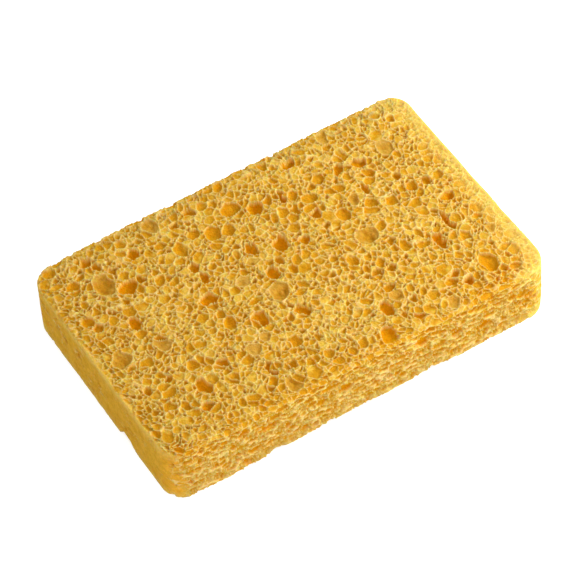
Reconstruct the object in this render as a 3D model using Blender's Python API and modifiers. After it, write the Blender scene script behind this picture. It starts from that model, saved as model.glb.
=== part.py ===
"""A household sponge of cellulose foam: one block, cut from a larger slab, with open pores on its
top, underside and two long sides, and a closed skin on its two ends.

Metres, +Z up. The origin is the centre of the underside, +X runs along the length, and -Y is the
long side that faces the viewer.
"""

import math
import random

import bmesh
import bpy
from mathutils import Euler, Matrix, Vector

MM = 0.001

# The block
LENGTH = 120 * MM
WIDTH = 76 * MM
THICKNESS = 19 * MM
CORNER_RADIUS = 6.5 * MM
CORNER_SEGMENTS = 8
EDGE_RADIUS = 0.8 * MM
EDGE_SEGMENTS = 3
FLAT_FACE = 0.999  # a face whose normal is this near to an axis is one of the six flat ones

# How a pore is cut
PORE_LIFT = 0.15  # share of a pore's depth by which its centre stands proud of the face
PORE_SIDES = 9
PORE_RINGS = 6
PORE_GAP = 0.5 * MM  # the least wall between two pores that are placed by chance

# The underside keeps a bare, flat patch in its middle, which the block rests on
REST_PATCH_RADIUS = 5 * MM

# Pores of the top face. Each row is its place along and across the face, in hundredths of the half
# length and half width, then its length, width and depth in mm, and its turn in degrees.
TOP_PORES = (
    (-92, 94, 4.0, 4.0, 1.0, 0), (-75, 89, 3.8, 5.0, 2.0, 0), (-72, 79, 2.2, 3.0, 2.0, 20),
    (-85, 72, 3.5, 4.8, 1.3, 15), (-75, 63, 5.4, 7.6, 1.5, 0), (-66, 67, 2.6, 2.6, 2.0, 0),
    (-65, 50, 5.5, 5.4, 2.2, 0), (-59, 51, 2.1, 3.2, 2.2, 0), (-55, 75, 3.8, 4.4, 1.8, -20),
    (-39, 89, 5.0, 4.8, 1.1, 0), (-29, 80, 3.0, 3.0, 1.6, 0), (-20, 85, 2.9, 3.2, 2.0, 0),
    (-42, 71, 3.8, 4.0, 1.2, 0), (-36, 58, 3.4, 4.4, 1.6, -15), (-17, 61, 3.8, 4.8, 1.5, -10),
    (-9, 56, 3.4, 4.0, 1.5, -25), (-47, 40, 2.8, 3.0, 2.3, 0), (-34, 40, 3.0, 3.4, 1.9, 0),
    (-33, 25, 3.5, 6.0, 2.4, 0), (-78, 33, 2.2, 5.0, 1.8, 28), (-73, 20, 3.0, 5.0, 2.0, 0),
    (-90, 29, 3.4, 3.6, 2.0, 0), (-39, 8, 4.4, 5.2, 2.4, 10), (-8, 31, 3.6, 4.6, 2.3, 10),
    (-5, 72, 5.2, 5.4, 1.6, -30), (-21, 9, 4.2, 4.2, 1.1, 0), (-7, 5, 3.2, 5.6, 1.9, 10),
    (-88, -2, 6.4, 7.6, 1.5, 0), (6, 63, 5.0, 7.0, 1.8, 0), (14, 63, 2.3, 4.8, 1.5, 10),
    (20, 61, 2.4, 4.8, 2.4, -12), (34, 84, 5.6, 4.2, 2.3, 0), (41, 91, 2.8, 2.4, 2.2, 0),
    (56, 92, 3.4, 5.2, 1.6, -20), (22, 95, 3.0, 3.8, 1.5, 0), (57, 70, 3.5, 4.8, 1.8, 0),
    (51, 59, 3.1, 4.0, 2.4, 0), (62, 57, 5.0, 3.2, 2.4, -20), (35, 57, 2.8, 2.2, 2.3, 0),
    (77, 58, 4.6, 7.0, 1.4, 0), (20, 46, 4.2, 4.8, 1.3, 0), (28, 37, 3.3, 5.0, 2.3, 0),
    (5, 22, 4.4, 7.2, 2.4, 0), (16, 17, 2.9, 3.2, 1.9, 0), (40, 20, 4.4, 5.0, 1.4, 0),
    (45, 32, 3.3, 5.8, 1.4, 0), (55, 33, 2.2, 4.2, 2.2, 0), (71, 32, 2.2, 3.2, 2.0, -20),
    (80, 16, 3.0, 3.6, 2.2, 0), (-70, -7, 4.4, 6.0, 1.4, 0), (-38, -16, 3.4, 4.6, 1.5, 0),
    (-25, -28, 4.0, 4.2, 2.4, 0), (-10, -13, 4.8, 7.4, 1.5, -10), (-53, -45, 3.2, 4.4, 2.3, 35),
    (-65, -54, 3.4, 6.4, 2.2, 10), (-80, -37, 3.8, 6.8, 1.4, 0), (-88, -40, 2.4, 4.4, 1.8, 30),
    (-29, -43, 3.6, 4.6, 1.7, 0), (-36, -69, 3.6, 6.0, 2.4, 0), (-26, -74, 3.2, 3.6, 1.9, 0),
    (-19, -57, 3.6, 4.6, 1.6, 0), (-7, -37, 3.4, 4.8, 1.8, 35), (-76, -70, 2.4, 6.2, 2.0, 25),
    (42, -7, 6.2, 6.8, 1.4, 0), (27, -19, 3.4, 4.0, 1.7, 0), (52, -29, 2.9, 5.2, 1.6, 0),
    (67, -38, 3.4, 7.0, 1.6, 0), (76, -25, 2.0, 8.4, 2.2, 0), (84, -5, 4.4, 3.0, 2.3, 0),
    (32, -54, 3.6, 3.2, 2.1, 0), (25, -68, 4.4, 6.6, 2.2, 0), (18, -90, 4.8, 6.4, 2.6, 0),
    (62, -71, 3.6, 2.8, 2.0, 0), (66, -81, 3.2, 3.0, 2.5, -30), (78, -72, 5.0, 6.6, 1.6, 0),
    (35, -87, 3.0, 3.6, 1.9, 0), (53, -92, 3.0, 4.0, 1.7, 20), (88, -85, 2.8, 3.4, 1.6, 0),
)

# Pores of the long side towards the viewer, flattened as the slab was pressed. Each row is as above,
# with its place up the side in hundredths of the thickness, and no turn.
FRONT_PORES = (
    (-52, 68, 5.6, 2.6, 2.0), (-62, 82, 2.6, 2.6, 1.8), (-38, 65, 3.2, 1.7, 1.4),
    (-43, 90, 3.0, 1.2, 1.2), (-23, 60, 3.6, 2.2, 1.4), (-10, 63, 4.0, 2.4, 2.0),
    (-60, 33, 4.8, 1.8, 1.6), (-62, 12, 3.2, 2.0, 1.4), (-86, 23, 3.0, 1.4, 1.0),
    (-28, 20, 2.4, 1.8, 1.4), (31, 80, 4.4, 1.8, 1.5), (29, 59, 3.8, 1.5, 1.3),
    (49, 58, 4.0, 1.7, 1.8), (64, 41, 4.0, 2.4, 2.0), (48, 16, 3.4, 2.2, 1.9),
    (62, 85, 3.4, 1.4, 1.3), (85, 66, 3.4, 2.4, 1.2), (86, 11, 3.6, 1.6, 1.2),
    (17, 37, 3.4, 2.2, 1.4), (-15, 84, 5.6, 1.7, 1.3), (11, 68, 2.6, 1.6, 1.2),
)

# A bite out of the lower edge of that side: place along it, length, height and depth
BITE = (-46, 9.0, 2.4, 2.6)

# Pores that the photograph can't show are strewn by chance: how many, and the least and greatest
# length, width and depth in mm
UNDERSIDE_PORES = (62, (2.4, 3.0, 1.2), (5.2, 6.6, 2.3))
BACK_PORES = (22, (2.4, 1.4, 1.1), (5.2, 2.5, 2.0))
TRIES_PER_PORE = 60
SEED = 7

YELLOW = (0.86, 0.52, 0.10)


def new_collection(name):
    collection = bpy.data.collections.new(name)
    bpy.context.scene.collection.children.link(collection)
    return collection


def add_object(name, shape, collection):
    """Turns a bmesh into an object of the given collection."""
    mesh = bpy.data.meshes.new(name)
    shape.to_mesh(mesh)
    shape.free()
    obj = bpy.data.objects.new(name, mesh)
    collection.objects.link(obj)
    return obj


class Face:
    """One face of the block: where its middle is, how it is turned, and its size. A face's own axes
    are its length, its width, and out of the block."""

    def __init__(self, middle, turn, length, width):
        self.matrix = Matrix.Translation(middle) @ Euler(turn).to_matrix().to_4x4()
        self.length = length
        self.width = width

    def pore(self, along, across, length, width, depth, turn=0.0):
        """Place, half sizes and turn of a pore, as a matrix that a unit ball is cut with. The ball's
        centre stands proud of the face by a share of the depth."""
        lift = PORE_LIFT * depth
        place = Matrix.Translation((along, across, lift))
        spin = Matrix.Rotation(math.radians(turn), 4, "Z")
        size = Matrix.Diagonal((length / 2, width / 2, depth + lift, 1))
        return self.matrix @ place @ spin @ size


TOP = Face((0, 0, THICKNESS), (0, 0, 0), LENGTH, WIDTH)
UNDERSIDE = Face((0, 0, 0), (math.pi, 0, 0), LENGTH, WIDTH)
FRONT = Face((0, -WIDTH / 2, THICKNESS / 2), (math.pi / 2, 0, 0), LENGTH, THICKNESS)
BACK = Face((0, WIDTH / 2, THICKNESS / 2), (-math.pi / 2, 0, 0), LENGTH, THICKNESS)


def top_pores():
    """The pores of the top face, each where its row says."""
    for along, across, length, width, depth, turn in TOP_PORES:
        x = along / 100 * LENGTH / 2
        y = across / 100 * WIDTH / 2
        yield TOP.pore(x, y, length * MM, width * MM, depth * MM, turn)


def front_pores():
    """The pores of the side towards the viewer, and the bite out of its lower edge."""
    for along, up, length, width, depth in FRONT_PORES:
        x = along / 100 * LENGTH / 2
        z = (up / 100 - 0.5) * THICKNESS
        yield FRONT.pore(x, z, length * MM, width * MM, depth * MM)
    along, length, height, depth = BITE
    x = along / 100 * LENGTH / 2
    yield FRONT.pore(x, -THICKNESS / 2, length * MM, 2 * height * MM, depth * MM)


def strewn_pores(face, amount, least, greatest, chance, bare=0.0):
    """Pores placed by chance on a face, clear of each other, of the face's rim and of a bare patch
    round its middle. Large pores are few: a pore's size goes with the square of a random number."""
    taken = []
    for _ in range(amount * TRIES_PER_PORE):
        if len(taken) == amount:
            break
        share = chance.random() ** 2
        length, width, depth = ((a + (b - a) * share) * MM for a, b in zip(least, greatest))
        room_along = face.length / 2 - CORNER_RADIUS - length / 2
        room_across = face.width / 2 - EDGE_RADIUS - width / 2
        place = Vector((chance.uniform(-room_along, room_along), chance.uniform(-room_across, room_across)))
        reach = max(length, width) / 2
        if place.length < bare + reach:
            continue
        if any((place - other).length < reach + other_reach + PORE_GAP for other, other_reach in taken):
            continue
        taken.append((place, reach))
        yield face.pore(place.x, place.y, length, width, depth)


def all_pores():
    chance = random.Random(SEED)
    yield from top_pores()
    yield from front_pores()
    yield from strewn_pores(UNDERSIDE, *UNDERSIDE_PORES, chance, bare=REST_PATCH_RADIUS)
    yield from strewn_pores(BACK, *BACK_PORES, chance)


def pore_cutters(collection):
    """One faceted ball for each pore, with its poles along the depth of the pore."""
    for number, matrix in enumerate(all_pores(), start=1):
        ball = bmesh.new()
        bmesh.ops.create_uvsphere(ball, u_segments=PORE_SIDES, v_segments=PORE_RINGS, radius=1)
        ball.transform(matrix)
        for face in ball.faces:
            face.smooth = True
        cutter = add_object(f"pore_{number:03d}", ball, collection)
        cutter.hide_render = True
        cutter.display_type = "WIRE"


def foam_material():
    material = bpy.data.materials.new("cellulose_foam")
    material.use_nodes = True
    surface = material.node_tree.nodes["Principled BSDF"]
    surface.inputs["Base Color"].default_value = (*YELLOW, 1)
    surface.inputs["Roughness"].default_value = 0.9
    surface.inputs["Metallic"].default_value = 0.0
    return material


def foam_block(collection, cutters):
    """The slab-cut block: a box with rounded upright corners, softened rims, and its pores cut in."""
    box = bmesh.new()
    bmesh.ops.create_cube(box, size=1)
    box.transform(Matrix.Translation((0, 0, THICKNESS / 2)) @ Matrix.Diagonal((LENGTH, WIDTH, THICKNESS, 1)))
    upright = [edge for edge in box.edges if abs(edge.verts[0].co.z - edge.verts[1].co.z) > THICKNESS / 2]
    bmesh.ops.bevel(
        box,
        geom=upright,
        offset=CORNER_RADIUS,
        segments=CORNER_SEGMENTS,
        profile=0.5,
        affect="EDGES",
    )
    for face in box.faces:
        face.smooth = max(abs(part) for part in face.normal) < FLAT_FACE
    block = add_object("sponge", box, collection)
    block.data.materials.append(foam_material())

    rims = block.modifiers.new("softened_rims", "BEVEL")
    rims.width = EDGE_RADIUS
    rims.segments = EDGE_SEGMENTS
    rims.limit_method = "ANGLE"
    rims.angle_limit = math.radians(60)

    pores = block.modifiers.new("pores", "BOOLEAN")
    pores.operation = "DIFFERENCE"
    pores.operand_type = "COLLECTION"
    pores.collection = cutters
    pores.solver = "EXACT"
    return block


for old in list(bpy.data.objects):
    bpy.data.objects.remove(old)
cutter_collection = new_collection("pore_cutters")
pore_cutters(cutter_collection)
foam_block(new_collection("scrub_sponge"), cutter_collection)
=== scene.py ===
import math

import bpy
import numpy as np
from mathutils import Matrix, Vector


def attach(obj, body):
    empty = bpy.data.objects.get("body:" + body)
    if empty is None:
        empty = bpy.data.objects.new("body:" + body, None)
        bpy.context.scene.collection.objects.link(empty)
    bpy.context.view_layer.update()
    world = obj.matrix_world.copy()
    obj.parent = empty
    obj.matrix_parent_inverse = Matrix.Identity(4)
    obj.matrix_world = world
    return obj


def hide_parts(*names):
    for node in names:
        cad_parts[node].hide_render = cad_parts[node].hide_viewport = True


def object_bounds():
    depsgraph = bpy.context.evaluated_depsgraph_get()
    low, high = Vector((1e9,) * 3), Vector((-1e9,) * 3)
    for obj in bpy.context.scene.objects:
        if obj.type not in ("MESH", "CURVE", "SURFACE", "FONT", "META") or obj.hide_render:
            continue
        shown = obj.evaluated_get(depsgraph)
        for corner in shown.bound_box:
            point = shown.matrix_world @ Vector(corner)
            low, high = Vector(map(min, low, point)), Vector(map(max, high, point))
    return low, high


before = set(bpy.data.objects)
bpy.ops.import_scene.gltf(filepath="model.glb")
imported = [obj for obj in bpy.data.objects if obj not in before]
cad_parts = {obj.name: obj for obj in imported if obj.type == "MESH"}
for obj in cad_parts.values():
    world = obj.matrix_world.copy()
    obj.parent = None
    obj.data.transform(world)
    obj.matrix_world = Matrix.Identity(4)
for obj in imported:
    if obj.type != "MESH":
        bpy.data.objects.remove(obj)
cad_low, cad_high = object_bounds()


# The camera looks down on the block from its front left, from far off through a long lens. Its place
# is in millimetres and degrees, and was solved from the block's outline in the photograph.
MM = 0.001
CAMERA_TARGET = (0.0, 0.0, 9.6)
CAMERA_AZIMUTH = -28.8
CAMERA_ELEVATION = 51.21
CAMERA_ROLL = -4.01
CAMERA_DISTANCE = 878.74
CAMERA_ASIDE = -0.45
CAMERA_ABOVE = 0.85
LENS = 200
SENSOR = 36
FARTHEST_SEEN = 10

azimuth, elevation, roll = map(math.radians, (CAMERA_AZIMUTH, CAMERA_ELEVATION, CAMERA_ROLL))
level = math.cos(elevation)
backward = Vector((math.sin(azimuth) * level, -math.cos(azimuth) * level, math.sin(elevation)))
rightward = Vector((math.cos(azimuth), math.sin(azimuth), 0))
upward = backward.cross(rightward)
rightward, upward = (
    math.cos(roll) * rightward + math.sin(roll) * upward,
    math.cos(roll) * upward - math.sin(roll) * rightward,
)
place = Vector(CAMERA_TARGET) + CAMERA_ASIDE * rightward + CAMERA_ABOVE * upward
place = place + CAMERA_DISTANCE * backward
turned = Matrix((rightward, upward, backward)).transposed().to_4x4()
camera = bpy.data.objects.new("camera", bpy.data.cameras.new("camera"))
camera.data.lens = LENS
camera.data.sensor_width = SENSOR
camera.data.clip_end = FARTHEST_SEEN
camera.matrix_world = Matrix.Translation(place * MM) @ turned
bpy.context.scene.collection.objects.link(camera)
bpy.context.scene.camera = camera


# The sponge is one block of cellulose foam, cut from a pressed slab. The cut laid its bubbles open on
# the top, the underside and the two long sides, and the two ends kept the skin of the slab's mould.
# Sizes are in millimetres, in the block's own frame.
HALF_LENGTH, HALF_WIDTH, THICKNESS = np.array(cad_high) / MM
CORNER_RADIUS = 6.5
EDGE_RADIUS = 0.6
SPACING = 0.25

columns = round(2 * HALF_LENGTH / SPACING)
rows = round(2 * HALF_WIDTH / SPACING)
layers = round(THICKNESS / SPACING)


def quarter_outline(t, half_along, half_across):
    """One side of the rounded plan, for t from 0 to 1: an eighth of a circle, a straight run, and an
    eighth of a circle, passed at a steady pace. The first value runs along the side."""
    run = 2 * (half_along - CORNER_RADIUS)
    eighth = CORNER_RADIUS * math.pi / 4
    gone = t * (run + 2 * eighth)
    first = math.pi / 4 - np.clip(gone, 0, eighth) / CORNER_RADIUS
    last = np.clip(gone - eighth - run, 0, eighth) / CORNER_RADIUS
    along = np.clip(gone - eighth, 0, run) - run / 2 + CORNER_RADIUS * (np.sin(last) - np.sin(first))
    across = CORNER_RADIUS * (1 - np.cos(first) * np.cos(last)) - half_across
    return np.stack([along, across], axis=-1)


def plan(u, v):
    """The rounded rectangle as a Coons patch: the sum of the blends between opposite sides of the
    outline, less the blend of its four corner points."""
    front = quarter_outline(u, HALF_LENGTH, HALF_WIDTH)
    left = quarter_outline(v, HALF_WIDTH, HALF_LENGTH)[..., ::-1]
    across_blend = front * (1, 1) * (1 - v)[..., None] + front * (1, -1) * v[..., None]
    along_blend = left * (1, 1) * (1 - u)[..., None] + left * (-1, 1) * u[..., None]
    corner = -quarter_outline(np.zeros(1), HALF_LENGTH, HALF_WIDTH)[0]
    corner_blend = np.stack([(2 * u - 1) * corner[0], (2 * v - 1) * corner[1]], axis=-1)
    return across_blend + along_blend - corner_blend


def depth_in_plan(xy):
    """How far inside the rounded outline a point lies, and the unit vector straight inwards."""
    beyond = np.abs(xy) - (HALF_LENGTH - CORNER_RADIUS, HALF_WIDTH - CORNER_RADIUS)
    round_part = np.maximum(beyond, 0)
    reach = np.linalg.norm(round_part, axis=-1)
    nearer_x = beyond[..., 0] > beyond[..., 1]
    flat = np.stack([nearer_x, ~nearer_x], axis=-1).astype(float)
    outward = np.where((reach > 0)[..., None], round_part / np.maximum(reach, 1e-9)[..., None], flat)
    depth = CORNER_RADIUS - reach - np.minimum(beyond.max(axis=-1), 0)
    return depth, -outward * np.sign(xy)


def block_surface():
    """The bare block as one closed grid: the top's points, then the underside's, then the rows between
    them. Its edge is a quarter circle, and the seams lie at the middle of that curve."""
    u, v = np.meshgrid(np.linspace(0, 1, columns + 1), np.linspace(0, 1, rows + 1), indexing="ij")
    xy = plan(u, v)
    depth, inward = depth_in_plan(xy)
    angle = math.pi / 4 + np.clip(depth / EDGE_RADIUS, 0, math.pi / 4)
    eighth = EDGE_RADIUS * math.pi / 4
    inset = np.where(depth < eighth, EDGE_RADIUS * (1 - np.cos(angle)), EDGE_RADIUS + depth - eighth)
    inset = depth + (inset - depth) * np.clip(1 - (depth - eighth) / CORNER_RADIUS, 0, 1)
    xy = xy + inward * (inset - depth)[..., None]
    drop = EDGE_RADIUS * (1 - np.sin(angle))
    top = np.concatenate([xy, (THICKNESS - drop)[..., None]], axis=-1)
    underside = np.concatenate([xy, drop[..., None]], axis=-1)

    ring = rim_indices()
    rim = plan(u, v).reshape(-1, 2)[ring]
    _, rim_inward = depth_in_plan(rim)
    height = THICKNESS * np.arange(1, layers) / layers
    angle = math.pi / 4 * np.clip(1 - np.minimum(height, THICKNESS - height) / EDGE_RADIUS, 0, 1)
    side_inset = EDGE_RADIUS * (1 - np.cos(angle))
    side_xy = rim[None] + rim_inward[None] * side_inset[:, None, None]
    side_z = np.broadcast_to(height[:, None, None], side_xy.shape[:2] + (1,))
    side = np.concatenate([side_xy, side_z], axis=-1)
    return np.concatenate([part.reshape(-1, 3) for part in (top, underside, side)])


def rim_indices():
    """The places, in the grid of the top, of its border points, anticlockwise from the front left."""
    i, j = np.arange(columns), np.arange(rows)
    far = rows + 1
    return np.concatenate([i * far, columns * far + j, (columns - i) * far + rows, rows - j])


def block_faces():
    """Four-sided faces between neighbours of the grid, all turned outwards."""
    grid = np.arange((columns + 1) * (rows + 1)).reshape(columns + 1, rows + 1)
    corners = np.stack([grid[:-1, :-1], grid[1:, :-1], grid[1:, 1:], grid[:-1, 1:]], axis=-1)
    corners = corners.reshape(-1, 4)
    ring = rim_indices()
    between = 2 * grid.size + np.arange((layers - 1) * len(ring)).reshape(layers - 1, len(ring))
    rings = np.concatenate([ring[None] + grid.size, between, ring[None]])
    after = np.roll(rings, -1, axis=1)
    side = np.stack([rings[:-1], after[:-1], after[1:], rings[1:]], axis=-1).reshape(-1, 4)
    return np.concatenate([corners, corners[:, ::-1] + grid.size, side])


def bake_places():
    """Each face corner's place on a flat sheet, from 0 to 1: the top, the underside seen from below, and
    the four sides unrolled, laid out with gaps between them."""
    gap = 2.0
    sheet = 2 * (2 * HALF_WIDTH + THICKNESS) + 5 * gap
    long_side = 2 * HALF_LENGTH
    short_side = 2 * HALF_WIDTH
    i, j = np.meshgrid(np.arange(columns), np.arange(rows), indexing="ij")
    steps = np.array([(0, 0), (1, 0), (1, 1), (0, 1)])
    flat = np.stack([i, j], axis=-1).reshape(-1, 1, 2) + steps
    top = flat * (long_side / columns, short_side / rows) + gap
    underside = flat[:, ::-1] * (-long_side / columns, short_side / rows)
    underside = underside + (gap + long_side, 2 * gap + short_side)
    strips = []
    above = 3 * gap + 2 * short_side
    for count, length, start in (
        (columns, long_side, (gap, above)),
        (rows, short_side, (2 * gap + long_side, gap)),
        (columns, long_side, (gap, above + THICKNESS + gap)),
        (rows, short_side, (2 * gap + long_side, 2 * gap + short_side)),
    ):
        k, n = np.meshgrid(np.arange(layers), np.arange(count), indexing="ij")
        strip = np.stack([n, k], axis=-1)[:, :, None] + steps
        strip = strip * (length / count, THICKNESS / layers)
        if count == rows:
            strip = np.stack([THICKNESS - strip[..., 1], strip[..., 0]], axis=-1)
        strips.append(strip + start)
    side = np.concatenate(strips, axis=1).reshape(-1, 4, 2)
    return np.concatenate([top, underside, side]) / sheet


CORE_INSET = (7.0, 7.0, 5.0)


def into_the_block(points):
    """The unit vector from each point to the nearest point of a smaller box inside the block, so that
    the lines that pores are sunk along never cross."""
    middle = np.array([0, 0, THICKNESS / 2])
    core = np.array([HALF_LENGTH, HALF_WIDTH, THICKNESS / 2]) - CORE_INSET
    way = middle + np.clip(points - middle, -core, core) - points
    return way / np.linalg.norm(way, axis=1, keepdims=True)


# All chance in the foam's bubbles is drawn from one seeded table, read by their place in a lattice.
SEED = 11
TABLE_SIZE = 65536
table = np.random.default_rng(SEED).random((TABLE_SIZE, 8)).astype(np.float32)


def drawn(lattice_place, layer):
    """Eight chance numbers for each whole-numbered place of a lattice. The row of the table is the
    exclusive or of the place's three numbers and the layer, each times a large number, wrapped to the
    table's length."""
    x, y, z = lattice_place.astype(np.int64).T
    return table[(x * 73856093 ^ y * 19349663 ^ z * 83492791 ^ layer * 2654435761) % TABLE_SIZE]


def wander(points, pitch, layer):
    """Smooth chance values in three directions, from -1 to 1: lattice values blended by the smooth step
    of the place within the box."""
    place = points / pitch
    corner = np.floor(place)
    part = place - corner
    part = part * part * (3 - 2 * part)
    total = np.zeros_like(points)
    for step in np.ndindex(2, 2, 2):
        weight = np.prod(np.where(step, part, 1 - part), axis=1)
        total += weight[:, None] * (2 * drawn(corner + step, layer)[:, :3] - 1)
    return total


NO_HOLD = -9.0


class Cells:
    """For each point of the surface, the bubble that it lies in and the next nearest one. A bubble's
    hold on a point is its squared radius less the squared distance, both measured with the bubble's
    own stretch, so the walls between bubbles lie where two holds are equal."""

    def __init__(self, points, way):
        self.points, self.way = points, way
        count = len(points)
        self.hold = np.full((2, count), NO_HOLD)
        self.slope = np.zeros((2, count, 3))
        self.inside = np.full(count, -1.0)
        self.thinness = np.ones(count)
        self.tone = np.zeros(count)

    def add(self, where, centre, half_sizes, turn, tone, strength):
        """Offers one bubble to each of the points numbered in where. A bubble of less strength gives
        way to its neighbours: its squared radius counts for less in its hold. One of more strength than
        1 breaks into its neighbours, and only as far as its own edge."""
        away = self.points[where] - centre
        cos, sin = np.cos(turn), np.sin(turn)
        radius = half_sizes[..., 0]
        stretch = (radius[..., None] / half_sizes) ** 2

        def weigh(vector):
            """The bubble's stretch in its own turned directions, applied to a vector."""
            a = (cos * vector[:, 0] + sin * vector[:, 1]) * stretch[..., 0]
            b = (cos * vector[:, 1] - sin * vector[:, 0]) * stretch[..., 1]
            return np.stack([cos * a - sin * b, sin * a + cos * b, vector[:, 2] * stretch[..., 2]], axis=1)

        slope = -2 * weigh(away)
        inside = radius**2 + 0.5 * (slope * away).sum(axis=1)
        hold = inside - (1 - strength) * radius**2
        hold = np.where((inside < 0) & (strength > 1), NO_HOLD, hold)
        way = self.way[where]
        best, second = self.hold[0, where], self.hold[1, where]
        wins = hold > best
        follows = (hold > second) & ~wins
        won, placed = where[wins], where[follows]
        self.hold[1, won], self.slope[1, won] = self.hold[0, won], self.slope[0, won]
        self.hold[0, won], self.slope[0, won], self.inside[won] = hold[wins], slope[wins], inside[wins]
        self.thinness[won] = (weigh(way) * way).sum(axis=1)[wins]
        self.tone[won] = np.broadcast_to(tone, hold.shape)[wins]
        self.hold[1, placed], self.slope[1, placed] = hold[follows], slope[follows]

    def to_wall(self):
        """The distance along the cut to the nearest wall: the difference of two holds over the difference
        of their slopes along the cut, or the hold over its own slope where the bubble stands alone."""
        gap = self.hold[0] - self.hold[1]
        apart = self.slope[0] - self.slope[1]
        apart = apart - (apart * self.way).sum(axis=1)[:, None] * self.way
        steep = np.linalg.norm(apart, axis=1)
        alone = self.inside / np.maximum(np.linalg.norm(self.slope[0], axis=1), 1e-6)
        return np.minimum(gap / np.maximum(steep, 1e-6), alone)

    def to_far_side(self):
        """How far the way into the block runs before it leaves the bubble: the larger root of the
        bubble's own quadratic."""
        toward = 0.5 * (self.slope[0] * self.way).sum(axis=1)
        under = np.maximum(toward**2 + self.thinness * self.inside, 0)
        return (toward + np.sqrt(under)) / self.thinness


def strew(cells, pitch, least, most, share, flatness, layer, strength, kept):
    """Bubbles by chance: one for each place of a lattice, or none, with a radius between two shares of
    the pitch, a little longer one way than the other. The outermost places lie on the block's faces,
    and their bubbles stay near them, so the cut passes through the middles of the bubbles. The tone
    of the stronger ones is low, which leaves them open. Where kept is given, it says which stay."""
    size = np.array([2 * HALF_LENGTH, 2 * HALF_WIDTH, THICKNESS])
    corner = np.array([-HALF_LENGTH, -HALF_WIDTH, 0])
    count = np.maximum(np.round(size / pitch / (1, 1, 1.3 * min(flatness, 1))), 1)
    grain = size / count
    home = np.round((cells.points - corner) / grain)
    for step in np.ndindex(3, 3, 3):
        place = home + np.array(step) - 1
        chance = drawn(place, layer)
        play = np.where((place == 0) | (place == count), 0.27, 0.9)
        centre = corner + (place + play * (chance[:, :3] - 0.5)) * grain
        radius = pitch * (least + (most - least) * chance[:, 3] ** 2)
        reach = 1.3 * radius * max(flatness, 1)
        near = (np.abs(cells.points - centre) < reach[:, None]).all(axis=1)
        where = np.flatnonzero(near & (chance[:, 4] < share))
        if kept is not None:
            where = where[kept(centre[where])]
        longer = 1 + 0.5 * chance[where, 5]
        deep = flatness * (0.5 + chance[where, 6])
        half_sizes = radius[where, None] * np.stack([np.ones(len(where)), 1 / longer, deep], axis=1)
        tone = chance[where, 7] * min(max(1 - 0.95 * strength, 0.2), 1)
        cells.add(where, centre[where], half_sizes, math.pi * chance[where, 4] / share, tone, strength)


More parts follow.
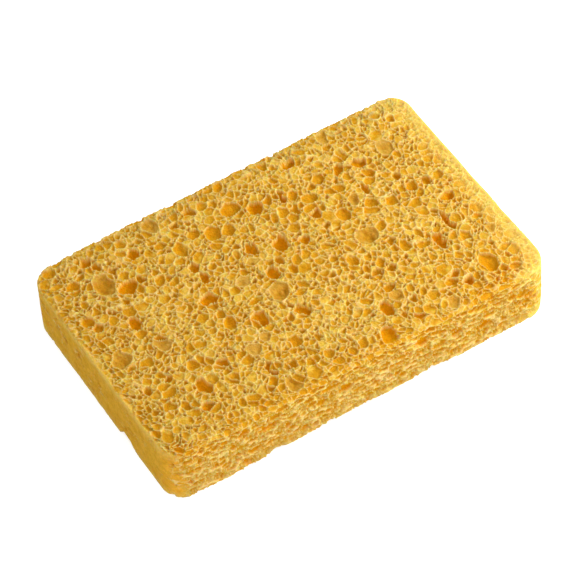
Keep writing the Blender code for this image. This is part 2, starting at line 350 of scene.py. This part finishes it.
# The larger pores of the top, read one by one: place along and across, length, width, how deep the bubble
# reaches (0 a shallow dish, 1 half a bubble, 2 deep, 3 deepest), and its turn in degrees.
TOP_PORES = (
    (-55, 35.5, 4, 3.5, 1, 0), (-45.5, 33, 4, 4.5, 2, 0), (-43, 30, 2.2, 2.8, 2, 0),
    (-51.5, 27.5, 4, 4.5, 1, 0), (-44.5, 23.5, 6, 8.5, 0, 0), (-40, 26, 2.6, 2.8, 2, 0),
    (-39.5, 19, 5.5, 5, 2, 0), (-35.5, 19.5, 2.4, 3.3, 2, 0), (-33, 28.5, 4, 4, 2, 0),
    (-34, 33, 2.5, 2.5, 1, 0), (-47, 13, 2, 4.5, 2, 28), (-53.5, 11.5, 3, 3, 2, 0),
    (-52, 18.5, 1.8, 1.5, 2, 0), (-51, 16.5, 2.5, 2.5, 1, 0), (-48.5, 17, 2, 2, 1, 0),
    (-44.5, 7.5, 3, 5, 2, 0), (-37, 12, 2.5, 2, 1, 0), (-28, 15.5, 2.8, 2.8, 2, 0),
    (-23.5, 34, 5, 5, 0, 0), (-24.5, 26.5, 3.5, 3, 1, 0), (-21, 22, 3.5, 4.5, 1, 0),
    (-27, 22, 2.5, 2.5, 1, 0), (-21, 15, 3.2, 4, 2, 0), (-20, 9.5, 3, 5.5, 2, 0),
    (-23.5, 3, 4.5, 5, 2, 0), (-17.5, 30.5, 3.2, 3, 2, 0), (-12, 32.5, 2.8, 3, 2, 0),
    (-10.5, 22.5, 4, 5, 1, 0), (-6.5, 21, 4, 3.5, 1, 0), (-2, 27, 5.5, 5.5, 1, 0),
    (-4.5, 11.5, 3.6, 4.5, 2, 0), (-9, 12, 2, 3, 1, 0), (-6.5, 7.5, 3.5, 2.5, 0, 0),
    (-4, 1.5, 3.5, 5, 2, 0), (-12.5, 3, 4, 4, 0, 0), (-8, 2, 2, 2, 2, 0), (-16.5, 12, 2, 2.2, 1, 0),
    (-5.5, 31, 2.5, 3, 1, 0), (-4, 36, 3, 2, 1, 0), (0, 4, 2.5, 3, 2, 0), (-35.5, 2.5, 2.5, 3.5, 1, 0),
    (-15, 6.5, 1.2, 1.2, 3, 0), (4, 23.5, 4.5, 6, 2, 0), (8, 24, 2.6, 4.6, 1, 0),
    (12, 23, 2.2, 4.8, 2, -12), (20.5, 32, 5, 4, 2, 0), (24, 34.5, 2.5, 2.5, 2, 0),
    (27, 32.5, 1.8, 1.8, 1, 0), (20.5, 21.5, 2.6, 2, 2, 0), (21.5, 24.5, 2.5, 2, 1, 0),
    (30.5, 22.5, 3.2, 4, 2, 0), (36.5, 21.5, 5.2, 3.2, 2, -20), (34, 26.5, 3, 4.8, 1, 0),
    (46, 22, 5, 6, 0, 0), (37, 17, 3.2, 3.6, 1, 0), (42, 29.5, 1.8, 2.2, 2, 0),
    (50, 33.5, 2.5, 2.5, 1, 0), (53, 30, 2.2, 2.5, 1, 0), (9.5, 18, 3, 4, 1, 0),
    (12.5, 17, 3.5, 4.5, 1, 0), (17, 13.5, 3.2, 5.2, 2, 0), (19.5, 13.5, 1.8, 4, 1, 0),
    (3, 9, 4.5, 7, 2, 0), (9.5, 6, 2.8, 3.2, 2, 0), (16.5, 8, 2.6, 3.2, 2, 0), (23, 8, 4.5, 5, 1, 0),
    (33, 12.5, 2.2, 4.2, 2, 0), (32, 7, 3.6, 4, 1, 0), (35.5, 9, 2, 3, 1, 0), (37.5, 9, 1.8, 2.6, 1, 0),
    (42.5, 12, 2.5, 3, 2, 0), (48.5, 6, 2.8, 3, 2, 0), (44.5, 8, 1.6, 1.8, 2, 0), (28, 11, 3, 4.5, 0, 0),
    (27, 17, 2.2, 2, 1, 0), (21.5, 3.5, 2, 1.8, 1, 0), (48, 2, 1.6, 3, 1, 0), (40, 1.5, 2, 2, 1, 0),
    (29, -1, 2.8, 2.8, 1, 0), (4.5, 19, 2.6, 3, 1, 0), (13.5, 35.5, 3, 4, 1, 0), (33.5, 35, 3.6, 5, 0, 0),
    (13.5, 29, 2.5, 3, 1, 0), (-53.5, -1, 5.6, 6.5, 0, 0), (-41.5, -3, 4, 6, 0, 0),
    (-57, -13, 2, 3, 2, 0), (-52.5, -14.5, 2.6, 3.6, 2, 30), (-46.5, -13, 2.4, 4, 2, 0),
    (-48.5, -16, 3, 3.5, 1, 0), (-38.5, -14, 3, 3.6, 1, 0), (-35.5, -14, 2.2, 4.5, 1, 0),
    (-39.5, -21, 3.6, 6, 2, 0), (-31.5, -17, 3.6, 3.6, 2, 35), (-27.5, -4, 2.5, 2.8, 1, 0),
    (-31.5, -4, 1.5, 1.8, 2, 0), (-23, -7, 3.6, 5, 1, 0), (-15, -10.5, 4.2, 4.8, 2, 0),
    (-6, -5, 5, 7, 0, -10), (-17.5, -16.5, 4, 3.8, 0, 0), (-22, -18, 4, 4, 0, 0),
    (-22, -26.5, 3.6, 5.4, 2, 0), (-16, -28, 3, 3, 2, 0), (-11.5, -22, 3.5, 4, 1, 0),
    (-4, -14, 3.6, 4.4, 2, 35), (-13, -4.5, 5, 2, 1, 0), (-42, -27.5, 4, 3, 2, 0),
    (-46.5, -25, 2.5, 4.5, 1, 25), (-49.5, -29, 1.5, 1.5, 3, 0), (-58, -27.5, 2.5, 3.2, 1, 0),
    (-25.5, -31.5, 2.5, 2.2, 2, 0), (-31.5, -23, 3.5, 3, 1, 0), (-19.5, -34, 4, 6, 0, 0),
    (-1, -23, 1.5, 1.8, 2, 0), (-1, -29, 1.8, 2, 1, 0), (-41.5, -32, 2, 2, 1, 0), (-47, -33, 3, 2, 1, 0),
    (-33.5, -31.5, 2, 2.5, 1, 0), (-6, -30.5, 2.5, 3, 1, 0), (-10, -30, 2.2, 3.5, 1, 0),
    (-6, -10.5, 1.5, 3, 2, 0), (-23.5, -13, 1.8, 1.8, 1, 0), (-19.5, -13, 1.8, 1.8, 1, 0),
    (1.5, -0.5, 4, 4, 1, 0), (24.5, -2, 7, 6, 0, 0), (50.5, -2, 4.2, 3.2, 2, 0),
    (45.5, -9.5, 2.4, 8.5, 2, 0), (12, -4, 2.6, 2.2, 2, 0), (16, -7, 3, 3.6, 1, 0),
    (28.5, -7, 2.6, 2.8, 2, 0), (31, -11, 2.8, 4.2, 1, 0), (22.5, -12.5, 2.8, 3.8, 1, 0),
    (19.5, -14.5, 3, 3, 2, 0), (16, -14, 2.4, 1.8, 2, 0), (24, -15.5, 3, 3, 2, 0),
    (19.5, -20.5, 3.5, 2.8, 2, 0), (23, -21, 2.2, 2.2, 1, 0), (40, -14.5, 3.4, 6.5, 2, 0),
    (35.5, -13, 3.5, 2.5, 1, 0), (47, -17, 3.2, 3.6, 1, 0), (52, -10.5, 3, 3, 0, 0),
    (49, -10.5, 1.8, 3, 1, 0), (42.5, -19, 2, 2, 1, 0), (15, -26, 4.2, 6, 2, 0),
    (19.5, -24.5, 3.6, 5, 0, 0), (23, -27.5, 2, 3, 2, 0), (9.5, -26, 2.5, 1.8, 2, 0),
    (11.5, -28.5, 2.5, 2.5, 1, 0), (10.5, -34.5, 4.8, 6.5, 2, 0), (21, -33, 2.8, 3.4, 2, 0),
    (31, -34.5, 3.5, 4.5, 0, 0), (37, -26.5, 3.6, 2.8, 2, 0), (39, -30.5, 3.4, 3.4, 3, 0),
    (42.5, -30.5, 2, 1.5, 2, 0), (47, -28, 5.5, 7, 1, 0), (49.5, -32, 2.2, 2.5, 2, 0),
    (53, -32, 2.5, 3, 1, 0), (32, -18, 2, 2.4, 1, 0), (29.5, -18, 2.2, 1.6, 1, 0),
    (27, -19.5, 1.6, 1.6, 2, 0), (9, -8.5, 2, 1.8, 2, 0), (6.5, -8, 1.8, 2.2, 1, 0),
    (12, -21, 3, 2.8, 1, 0), (7.5, -23.5, 3, 2.8, 1, 0), (3, -32.5, 2.8, 3, 1, 0),
    (18, -12, 2.2, 2.6, 1, 0), (36.5, -9, 2, 4, 1, 0), (42, -24, 2, 3, 1, 0), (54, -19, 3.5, 3, 0, 0),
)
# The larger slits of the front, read likewise: place along and up, length, height, and how deep.
FRONT_PORES = (
    (-37.5, 15.5, 2.8, 2.4, 2), (-33.5, 16, 3, 1.5, 1), (-30.5, 13, 6, 2.4, 2), (-26, 17.5, 4, 1.5, 1),
    (-23, 12.5, 3.2, 1.4, 1), (-19.5, 11, 1.5, 1, 1), (-13.5, 11.5, 3.5, 2, 1), (-10.5, 15.5, 6, 2, 1),
    (-6, 12, 4.5, 2.6, 2), (-35, 6.5, 5, 1.6, 1), (-37, 2.5, 4, 2.4, 2), (-51.5, 4.5, 2.5, 1.2, 1),
    (-27, 8, 3, 1.4, 1), (-14.5, 7, 2.5, 1.4, 1), (-16.5, 3.5, 2, 1.5, 2), (-23, 2, 2.5, 1.3, 2),
    (18.5, 14.5, 4.5, 2.2, 2), (17.5, 11, 4, 1.4, 1), (21.5, 17.5, 3, 1.3, 2), (30, 10.5, 4.2, 2, 2),
    (31.5, 14, 1.6, 1.8, 1), (29, 3.5, 3.6, 2.4, 2), (39, 7.5, 4.4, 2.4, 2), (51, 12.5, 4, 2.4, 1),
    (37, 16, 3.5, 1.6, 1), (10.5, 7, 3.5, 1.8, 1), (51.5, 1.5, 3, 1.6, 1), (48, 4.5, 4, 1.2, 1),
    (15.5, 3, 2, 1.2, 2), (7.5, 3, 2, 1.2, 1), (20.5, 2, 2, 1, 1), (6.5, 13, 2.5, 1.6, 1),
    (23, 10.5, 2, 1.2, 1), (48, 10, 3.5, 1, 1),
)
# For each of those depths: how far a bubble's middle lies below the cut, in shares of its own depth,
# that depth in shares of the pore's mean width, and the bubble's strength.
BURIAL = (-0.45, 0.0, 0.3, 0.5)
PORE_DEPTH = (0.36, 0.36, 0.5, 0.8)
PORE_STRENGTH = (0.8, 0.8, 0.8, 1.0)
# The slits of the front are this much deeper for their width.
SLIT_DEPTH = 1.6
# A bubble's half sizes are a little over half of what was read, because its walls take some of them.
HALF_SHARE = 0.53
PORE_MARGIN = 0.25
SLIT_MARGIN = 0.3
# A bubble's tone is a chance number from 0 to 1. From about a half on it is filled with finer foam, and
# below that it is open, as the listed ones are. A dish has a tone of its own, and stays unfilled.
OPEN_TONES = 0.3
DISH_TONE = 1.2


def read_bubble(cells, centre, half_along, half_across, turn, depth_class, tone, on_top):
    """Offers a bubble whose mouth in the cut has the given half sizes. A bubble whose middle lies off
    the cut by a share s of its depth is wider than its mouth by 1 / sqrt(1 - s * s)."""
    share = BURIAL[depth_class]
    wider = 1 / math.sqrt(1 - share**2)
    depth = PORE_DEPTH[depth_class] * (half_along + half_across) * (1 if on_top else SLIT_DEPTH)
    way = np.array([0, 0, -1.0]) if on_top else np.array([0, 1.0, 0])
    centre = np.array(centre) + way * share * depth
    if on_top:
        half_sizes = np.array([half_along * wider, half_across * wider, depth])
    else:
        half_sizes = np.array([half_along * wider, depth, half_across * wider])
    where = np.flatnonzero((np.abs(cells.points - centre) < 1.4 * half_sizes.max()).all(axis=1))
    cells.add(where, centre, half_sizes, turn, tone, PORE_STRENGTH[depth_class])


def in_side(centre):
    """Whether a bubble lies in one of the four sides, away from the top and the underside."""
    from_middle = np.abs(centre[:, 2] - THICKNESS / 2)
    return (depth_in_plan(centre[:, :2])[0] < 0.9) & (from_middle < THICKNESS / 2 - 0.8)


def in_wide_face(centre):
    """Whether a bubble lies in the top or the underside."""
    return ~in_side(centre)


# The bubbles strewn by chance: the pitch of their lattice, the least and the greatest radius in shares
# of it, the share of its places that hold one, how flat they are, their layer of the table, their
# strength, and what they are kept to. The first are pinpricks that break through all the others, and
# the last of each kind are the fine foam that fills what is left.
STREWN = (
    (4.4, 0.10, 0.16, 0.60, 2.20, 8, 3.0, None),
    (4.2, 0.32, 0.58, 0.90, 0.36, 9, 0.5, in_side),
    (4.0, 0.40, 0.68, 0.90, 0.42, 5, 0.6, None),
    (2.7, 0.56, 0.85, 0.95, 0.46, 6, 0.25, in_wide_face),
    (3.0, 0.90, 1.20, 1.00, 0.42, 10, 0.0, in_side),
    (1.6, 0.90, 1.20, 1.00, 0.50, 12, -2.0, in_side),
    (1.7, 0.90, 1.20, 1.00, 0.60, 7, 0.0, in_wide_face),
)
# Three sizes of bend in the walls: how far, the pitch, and the layer of the table.
BENDS = ((0.55, 3.9, 3), (0.32, 2.3, 1), (0.16, 0.9, 2))

points = block_surface()
way = into_the_block(points)
shift = sum(far * wander(points, pitch, layer) for far, pitch, layer in BENDS)
bent = points + shift - 0.7 * (shift * way).sum(axis=1)[:, None] * way
cells = Cells(bent, way)
chance = np.random.default_rng(SEED)
for x, y, length, width, depth_class, turn in TOP_PORES:
    tone = DISH_TONE if depth_class == 0 else OPEN_TONES * chance.random()
    half_sizes = HALF_SHARE * length + PORE_MARGIN, HALF_SHARE * width + PORE_MARGIN
    read_bubble(cells, (x, y, THICKNESS), *half_sizes, math.radians(turn), depth_class, tone, True)
for x, z, length, height, depth_class in FRONT_PORES:
    tone = OPEN_TONES * chance.random()
    half_sizes = HALF_SHARE * length + SLIT_MARGIN, HALF_SHARE * height + SLIT_MARGIN
    read_bubble(cells, (x, -HALF_WIDTH, z), *half_sizes, 0.0, depth_class, tone, False)
for row in STREWN:
    strew(cells, *row)

# A pore runs down from its wall over a bank, and then follows the far side of its bubble, less and less
# as it nears the greatest depth. Its floor is lumpy, and a filled one lies near the cut.
BANK = 0.3
DEEPEST_IN_SIDE = 1.5
DEEPEST_IN_FACE = 4.2
upright = way[:, 2] ** 2
to_wall = cells.to_wall()
opened = np.sin(np.clip(to_wall / BANK, 0, 1) * math.pi / 2)
deepest = DEEPEST_IN_SIDE + (DEEPEST_IN_FACE - DEEPEST_IN_SIDE) * upright
far_side = cells.to_far_side()
depth = deepest * (1 - np.exp(-far_side / deepest)) * opened
roomy = np.clip((to_wall - 0.5) / 0.8, 0, 1)
lumps = wander(points, 1.9, 23)[:, 0] + 0.6 * wander(points, 0.9, 24)[:, 0]
depth = depth + np.where(cells.tone > 1, 0.4, 0.25) * lumps * roomy
filled = np.clip((cells.tone - 0.45) / 0.5, 0, 1) * (cells.tone < 1)
depth = depth * (1 - 0.65 * filled)
wall = np.exp(-np.maximum(to_wall, 0) / (0.09 + 0.03 * upright)) * (0.75 + 0.25 * upright)


def bell(distance, reach):
    """One at no distance, falling to about a third at the reach."""
    return np.exp(-((distance / reach) ** 2))


# The skin covers the two ends and runs a little way round the corners of the sides. It laps over the
# upper and the lower rim of the ends as a thin wavy lip, widest at the right end. The lip is painted
# paler than the rest as a highlight along the rounded rims, palest at the right end, where the glow of
# the end that faces the key lamp is painted too.
plan_depth = np.maximum(depth_in_plan(points[:, :2])[0], 0)
to_top_rim = THICKNESS - points[:, 2] + plan_depth
to_low_rim = points[:, 2] + plan_depth
to_rim = np.minimum(points[:, 2], THICKNESS - points[:, 2])
past_rim = plan_depth - to_rim
round_corner = np.abs(points[:, 0]) - HALF_LENGTH + 9 + 2.4 * wander(points, 4.0, 30)[:, 0]
at_end = np.clip(round_corner / 10, 0, 1)
rightward_share = np.clip(points[:, 0] / 10, 0, 1)
lap = 0.7 + 0.8 * wander(points, 3.2, 31)[:, 0] + 1.3 * rightward_share
skin = at_end * np.clip((lap - past_rim) / (0.9 + rightward_share), 0, 1)
skin = np.clip((1.5 * skin - 1 + np.minimum(cells.tone, 1)) / 0.5, 0, 1)
# Painted highlight: the lip's pale band along the rims, wider and stronger towards the right end, which
# faces the key lamp.
lip_highlight_and_glow = skin * bell(past_rim - 0.3, np.where(past_rim > 0.3, 1.1, 2.2) + rightward_share)
lip_highlight_and_glow = lip_highlight_and_glow * (0.7 + 0.3 * rightward_share)
# Painted light: the right end and the rims beside it glow, as if lit by the key lamp and shining through.
right_end_painted_glow = np.clip((points[:, 0] - HALF_LENGTH + 12) / 6, 0, 1)
right_end_painted_glow = bell(past_rim, np.where(past_rim > 0, 3.6, 3.0)) * right_end_painted_glow
lip_highlight_and_glow = np.maximum(lip_highlight_and_glow, 0.8 * right_end_painted_glow)
at_rim = np.minimum(to_top_rim, to_low_rim)
depth = depth * (1 - 0.97 * skin) * (0.5 + 0.5 * np.clip(at_rim / 1.3, 0, 1))
uneven = 0.10 * wander(points, 2.6, 21)[:, 0] + 0.05 * wander(points, 1.1, 22)[:, 0]
on_underside = (points[:, 2] < THICKNESS / 2) * np.clip(plan_depth / 1.5, 0, 1)
proud = (0.5 - 0.35 * np.clip((-40 - points[:, 0]) / 18, 0, 1)) * (1 - on_underside)
uneven = 0.1 * wander(points, 7.0, 9)[:, 0] + uneven * (1 - 0.8 * skin) - proud

# The rims are worn round, the upper one most at the front left corner. The lower one is lifted along
# the middle of the front, chipped beside that, and bitten at the left end. Wear reaches from a rim
# along both faces, and dies away as a bell curve.
left_corner = bell(points[:, 0] + HALF_LENGTH - 2, 13) * bell(points[:, 1] + HALF_WIDTH - 2, 11)
wear = 0.06 + 0.16 * wander(points, 8.0, 32)[:, 0]
worn_in = (wear + 0.8 * left_corner) * bell(to_top_rim, 1.5) + 0.5 * wear * bell(to_low_rim, 1.2)
on_front = points[:, 1] < 6 - HALF_WIDTH
on_left = points[:, 0] < 6 - HALF_LENGTH
lifted = 0.4 * np.clip((points[:, 0] + 27) / 3, 0, 1) * np.clip((28 - points[:, 0]) / 6, 0, 1)
worn_in = worn_in + on_front * lifted * bell(to_low_rim, 1.6)
chipped = 1.3 * bell(points[:, 0] + 28, 2.6)
worn_in = worn_in + on_front * chipped * bell(to_low_rim, 2.2)
bitten = 1.4 * np.clip((-9.5 - points[:, 1]) / 1.2, 0, 1) * np.clip((points[:, 1] + 17.5) / 7, 0, 1)
worn_in = worn_in + on_left * bitten * bell(to_low_rim, 2.0)
final = points + way * (depth + uneven + worn_in)[:, None]
final[:, 2] = np.maximum(final[:, 2], 0)

# The mesh keeps five values at its points for the material: how deep the bubble goes, how near a wall
# is, the bubble's tone, and the shares of skin and of the lip, which carries the painted highlight along
# the rims and the painted glow of the right end.
mesh = bpy.data.meshes.new("cellulose_block")
faces = block_faces()
mesh.vertices.add(len(final))
mesh.vertices.foreach_set("co", (final * MM).astype(np.float32).ravel())
mesh.loops.add(faces.size)
mesh.loops.foreach_set("vertex_index", faces.astype(np.int32).ravel())
mesh.polygons.add(len(faces))
mesh.polygons.foreach_set("loop_start", np.arange(0, faces.size, 4, dtype=np.int32))
mesh.update(calc_edges=True)
mesh.validate()
pit = (far_side + 0.7 * lumps) * (1 - skin) * (1 - 0.65 * filled)
for name, values in (("pit", pit), ("wall", wall), ("tone", cells.tone), ("skin", skin), ("lip_highlight_and_glow", lip_highlight_and_glow)):
    stored = mesh.attributes.new(name, "FLOAT", "POINT")
    stored.data.foreach_set("value", values.astype(np.float32))
mesh.polygons.foreach_set("use_smooth", np.ones(len(mesh.polygons), dtype=bool))
bake_map = mesh.uv_layers.new(name="OFBake")
bake_map.uv.foreach_set("vector", bake_places().astype(np.float32).ravel())
sponge = bpy.data.objects.new("cellulose_block", mesh)
bpy.context.scene.collection.objects.link(sponge)

# The foam is dyed yellow all through. Its colour is painted palest on the cut edges of its walls, a
# painted highlight of lit thin walls, and deepest amber at the bottom of its pores, painted shade for the
# light bounced and lost inside them. It lets some light through, and it has hardly any shine.
LIT_WALL_COLOUR = (0.91, 0.69, 0.255)
FILLED_COLOUR = (0.85, 0.54, 0.07)
CELL_COLOUR = (0.735, 0.352, 0.012)
# Painted shade of the deepest pits.
DEEP_PIT_SHADE = (0.81, 0.35, 0.003)
DISH_COLOUR = (0.72, 0.41, 0.062)
# Painted shade of the deeper parts of the dishes.
DISH_PAINTED_SHADE = (0.64, 0.30, 0.016)
CLUMP_COLOUR = (0.84, 0.54, 0.19)
SKIN_COLOUR = (0.90, 0.46, 0.038)
SKIN_SHADE = (0.77, 0.36, 0.021)
# Painted highlight of the rims and painted glow of the right end.
LIP_HIGHLIGHT_COLOUR = (0.97, 0.77, 0.20)
LIGHT_REACH = (1.0, 0.55, 0.15)

material = bpy.data.materials.new("yellow_cellulose")
material.use_nodes = True
nodes = material.node_tree.nodes
links = material.node_tree.links
surface = nodes["Principled BSDF"]


def read_attribute(name):
    """The socket of one of the values stored at the points of the mesh."""
    node = nodes.new("ShaderNodeAttribute")
    node.attribute_name = name
    return node.outputs["Fac"]


def remap(value, low_in, high_in, low_out=0.0, high_out=1.0):
    """A value's place between two bounds, held there, and spread between two others."""
    node = nodes.new("ShaderNodeMapRange")
    node.inputs["From Min"].default_value = low_in
    node.inputs["From Max"].default_value = high_in
    node.inputs["To Min"].default_value = low_out
    node.inputs["To Max"].default_value = high_out
    links.new(value, node.inputs["Value"])
    return node.outputs["Result"]


def blend(share, first, second):
    """Two colours, each a socket or a written one, mixed by a share from 0 to 1."""
    node = nodes.new("ShaderNodeMix")
    node.data_type = "RGBA"
    for value, place in ((share, 0), (first, 6), (second, 7)):
        if isinstance(value, tuple):
            node.inputs[place].default_value = value + (1,)
        else:
            links.new(value, node.inputs[place])
    return node.outputs[2]


def noise(pitch, detail, roughness=0.5):
    """Smooth chance values from 0 to 1 over the block, with bumps of about the given size in mm."""
    node = nodes.new("ShaderNodeTexNoise")
    node.inputs["Scale"].default_value = 1 / (pitch * MM)
    node.inputs["Detail"].default_value = detail
    node.inputs["Roughness"].default_value = roughness
    links.new(place_in_block, node.inputs["Vector"])
    return node.outputs["Fac"]


place_in_block = nodes.new("ShaderNodeTexCoord").outputs["Object"]
pit_depth = read_attribute("pit")
# Painted shade: the pores turn from pale yellow to deep amber with the depth of their bubble, for the
# light bounced and lost inside them.
cell = blend(remap(pit_depth, 0.0, 0.8), FILLED_COLOUR, CELL_COLOUR)
cell = blend(remap(pit_depth, 1.3, 2.8), cell, DEEP_PIT_SHADE)
# Painted shade in the dishes too: darker amber where they are deeper.
dish = blend(remap(pit_depth, 0.3, 1.8), DISH_COLOUR, DISH_PAINTED_SHADE)
cell = blend(remap(read_attribute("tone"), 1.0, 1.1), cell, dish)
# Painted highlight: the crests of the walls are paler, as thin walls look where light falls on and through
# them.
open_face = blend(remap(read_attribute("wall"), 0.08, 0.95), cell, LIT_WALL_COLOUR)
mottled = blend(remap(noise(3.0, 3.0), 0.35, 0.65), SKIN_COLOUR, SKIN_SHADE)
# Here and there the walls lie close in a pale clump, except where a pore is deep.
clump = nodes.new("ShaderNodeMath")
clump.operation = "MULTIPLY"
links.new(remap(noise(5.0, 2.0), 0.52, 0.68, 0.0, 0.28), clump.inputs[0])
links.new(remap(pit_depth, 0.2, 0.7, 1.0, 0.0), clump.inputs[1])
open_face = blend(clump.outputs[0], open_face, CLUMP_COLOUR)
colour = blend(read_attribute("skin"), open_face, mottled)
# Painted highlight along the rims and painted glow of the right end, through the lip's share.
colour = blend(remap(read_attribute("lip_highlight_and_glow"), 0.0, 1.0, 0.0, 0.75), colour, LIP_HIGHLIGHT_COLOUR)
grain = nodes.new("ShaderNodeVectorMath")
grain.operation = "SCALE"
links.new(colour, grain.inputs[0])
links.new(remap(noise(0.7, 4.0, 0.65), 0.3, 0.7, 0.86, 1.1), grain.inputs["Scale"])
links.new(grain.outputs[0], surface.inputs["Base Color"])
links.new(remap(noise(1.5, 3.0), 0.3, 0.7, 0.72, 0.95), surface.inputs["Roughness"])
surface.inputs["Specular IOR Level"].default_value = 0.02
surface.inputs["Subsurface Weight"].default_value = 0.8
surface.inputs["Subsurface Radius"].default_value = LIGHT_REACH
surface.inputs["Subsurface Scale"].default_value = 0.0012

# The finest foam, under a millimetre, is only felt as a roughness: small cells, and fibres over them.
fine_cells = nodes.new("ShaderNodeTexVoronoi")
fine_cells.feature = "DISTANCE_TO_EDGE"
fine_cells.inputs["Scale"].default_value = 1 / (0.75 * MM)
links.new(place_in_block, fine_cells.inputs["Vector"])
cell_bump = nodes.new("ShaderNodeBump")
cell_bump.invert = True
cell_bump.inputs["Strength"].default_value = 0.5
cell_bump.inputs["Distance"].default_value = 0.00012
links.new(remap(fine_cells.outputs["Distance"], 0.0, 0.3), cell_bump.inputs["Height"])
fibre_bump = nodes.new("ShaderNodeBump")
fibre_bump.inputs["Strength"].default_value = 0.5
fibre_bump.inputs["Distance"].default_value = 0.00010
links.new(noise(0.35, 3.0, 0.6), fibre_bump.inputs["Height"])
links.new(cell_bump.outputs["Normal"], fibre_bump.inputs["Normal"])
links.new(fibre_bump.outputs["Normal"], surface.inputs["Normal"])
mesh.materials.append(material)

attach(sponge, "root")
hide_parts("sponge")


# The sheet of white paper that the block lies on, spread wide and flat. A glow that only the camera
# sees, straight or by way of gloss or glass, makes it white, and it keeps the block's shadow.
FLOOR_HALF = 1.5
PAPER_GLOW = 0.66
floor_mesh = bpy.data.meshes.new("floor")
floor_corners = [(x * FLOOR_HALF, y * FLOOR_HALF, 0) for x, y in ((-1, -1), (1, -1), (1, 1), (-1, 1))]
floor_mesh.from_pydata(floor_corners, [], [(0, 1, 2, 3)])
floor = bpy.data.objects.new("floor", floor_mesh)
bpy.context.scene.collection.objects.link(floor)


def seen_straight(nodes, links):
    """A socket that is 1 for what the camera sees straight, or by way of gloss or glass, else 0."""
    light_path = nodes.new("ShaderNodeLightPath")
    seen = light_path.outputs["Is Camera Ray"]
    for kind in ("Is Glossy Ray", "Is Transmission Ray"):
        either = nodes.new("ShaderNodeMath")
        either.operation = "MAXIMUM"
        links.new(seen, either.inputs[0])
        links.new(light_path.outputs[kind], either.inputs[1])
        seen = either.outputs[0]
    return seen


paper = bpy.data.materials.new("white_paper")
paper.use_nodes = True
floor_mesh.materials.append(paper)
nodes = paper.node_tree.nodes
links = paper.node_tree.links
surface = nodes["Principled BSDF"]
surface.inputs["Base Color"].default_value = (0.85, 0.85, 0.85, 1)
surface.inputs["Roughness"].default_value = 0.9
output = nodes["Material Output"]
glow = nodes.new("ShaderNodeEmission")
glow.inputs["Strength"].default_value = PAPER_GLOW
both = nodes.new("ShaderNodeAddShader")
mix = nodes.new("ShaderNodeMixShader")
links.new(surface.outputs[0], both.inputs[0])
links.new(glow.outputs[0], both.inputs[1])
links.new(seen_straight(nodes, links), mix.inputs[0])
links.new(surface.outputs[0], mix.inputs[1])
links.new(both.outputs[0], mix.inputs[2])
links.new(mix.outputs[0], output.inputs["Surface"])


# Soft studio light: a round key lamp high on the right, a broader one in front, and a pale room all
# round, which the camera sees as white.
ROOM_LIGHT = 0.56


def soft_light(name, place, size, power):
    """A round lamp of the given width in metres and power in watts, turned towards the block."""
    data = bpy.data.lights.new(name, "AREA")
    data.shape = "DISK"
    data.size = size
    data.energy = power
    light = bpy.data.objects.new(name, data)
    turned = Vector(place).normalized().to_track_quat("Z", "Y").to_matrix().to_4x4()
    light.matrix_world = Matrix.Translation(place) @ turned
    bpy.context.scene.collection.objects.link(light)


soft_light("key", (0.34, -0.13, 0.28), 0.16, 1.35)
soft_light("fill", (-0.10, -0.60, 0.35), 0.3, 1.13)

world = bpy.data.worlds.new("room")
bpy.context.scene.world = world
world.use_nodes = True
nodes = world.node_tree.nodes
links = world.node_tree.links
air = nodes["Background"]
air.inputs["Color"].default_value = (1, 1, 1, 1)
air.inputs["Strength"].default_value = ROOM_LIGHT
white = nodes.new("ShaderNodeBackground")
white.inputs["Strength"].default_value = 1.0
mix = nodes.new("ShaderNodeMixShader")
links.new(seen_straight(nodes, links), mix.inputs[0])
links.new(air.outputs[0], mix.inputs[1])
links.new(white.outputs[0], mix.inputs[2])
links.new(mix.outputs[0], nodes["World Output"].inputs["Surface"])

bpy.context.scene.view_settings.view_transform = "Standard"
